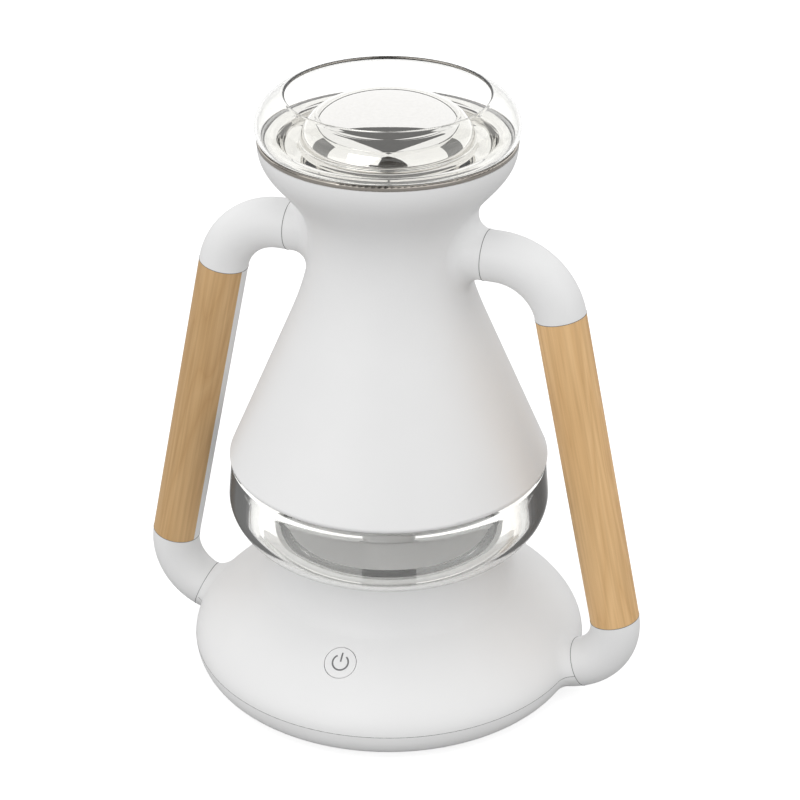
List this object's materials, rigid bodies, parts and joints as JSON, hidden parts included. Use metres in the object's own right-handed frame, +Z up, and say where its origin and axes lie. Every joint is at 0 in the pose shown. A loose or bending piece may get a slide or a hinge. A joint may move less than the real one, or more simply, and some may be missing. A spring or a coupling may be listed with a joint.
{
  "type": "humidifier",
  "caption": "Top-filled cool mist humidifier: round base, clear tank, white cone body, wooden side handles and a clear mist bowl with a chrome dome.",
  "frame": {"origin": "on the floor, at the middle of the whole object seen from above", "axes": "+Z up, front with the power button towards -Y, the two handles along X"},
  "size_m": [0.2788, 0.2091, 0.3244],
  "materials": {
    "white_plastic": "fine matte",
    "inner_plastic": "satin",
    "clear_plastic": "polished clear",
    "chrome_trim": "polished",
    "grip_wood": "oiled light beech",
    "soft_rubber": "translucent grey silicone",
    "black_plastic": "matte",
    "filter_foam": "open foam",
    "circuit_board": "solder mask",
    "steel_hardware": "zinc plated",
    "heatsink_aluminium": "extruded",
    "transducer_ceramic": "plated ceramic"
  },
  "bodies": {
    "housing": {"air_duct": "inner_plastic", "air_filter": "filter_foam", "base_lower_shell": "white_plastic", "base_screws": "steel_hardware", "base_upper_shell": "white_plastic", "board_parts": "black_plastic", "body_cone": "white_plastic", "button_switch": "black_plastic", "clear_tank": "clear_plastic", "cone_seal": "soft_rubber", "control_board": "circuit_board", "driver_heatsink": "heatsink_aluminium", "fan_frame": "black_plastic", "fan_motor": "steel_hardware", "fan_screws": "steel_hardware", "float_post": "inner_plastic", "holder_screws": "steel_hardware", "intake_grille": "white_plastic", "left_grip_core": "white_plastic", "left_lower_elbow": "white_plastic", "left_tie_rod": "steel_hardware", "left_upper_elbow": "white_plastic", "left_wood_grip": "grip_wood", "main_board": "circuit_board", "mist_chamber": "inner_plastic", "mist_tube": "inner_plastic", "neck_bolts": "steel_hardware", "neck_funnel": "white_plastic", "power_inlet": "black_plastic", "right_grip_core": "white_plastic", "right_lower_elbow": "white_plastic", "right_tie_rod": "steel_hardware", "right_upper_elbow": "white_plastic", "right_wood_grip": "grip_wood", "rubber_feet": "soft_rubber", "tank_floor": "inner_plastic", "tank_foot_seal": "soft_rubber", "transducer_disc": "transducer_ceramic", "transducer_gasket": "soft_rubber", "transducer_holder": "steel_hardware", "trim_ring": "chrome_trim", "tube_guide": "inner_plastic", "water_basin": "inner_plastic"},
    "lid": {"lid_seal": "soft_rubber", "clear_bowl": "clear_plastic", "mist_dish": "chrome_trim", "mist_dome": "chrome_trim", "dome_posts": "chrome_trim"},
    "button": {"power_button": "white_plastic"},
    "fan": {"fan_rotor": "black_plastic"},
    "float": {"water_float": "inner_plastic"}
  },
  "joints": [
    {"name": "lid_lift", "type": "slide", "parent": "housing", "child": "lid", "axis": [0, 0, 1], "range_m": [0, 0.1]},
    {"name": "power_button_press", "type": "slide", "parent": "housing", "child": "button", "axis": [-0.03, 0.5728, -0.8192], "range_m": [0, 0.0006], "stiffness_N_per_m": 800},
    {"name": "fan_spin", "type": "hinge", "parent": "housing", "child": "fan", "pos_m": [0, 0.031, 0.012], "axis": [0, 0, 1], "continuous": true},
    {"name": "float_rise", "type": "slide", "parent": "housing", "child": "float", "axis": [0, 0, 1], "range_m": [0, 0.008]}
  ]
}
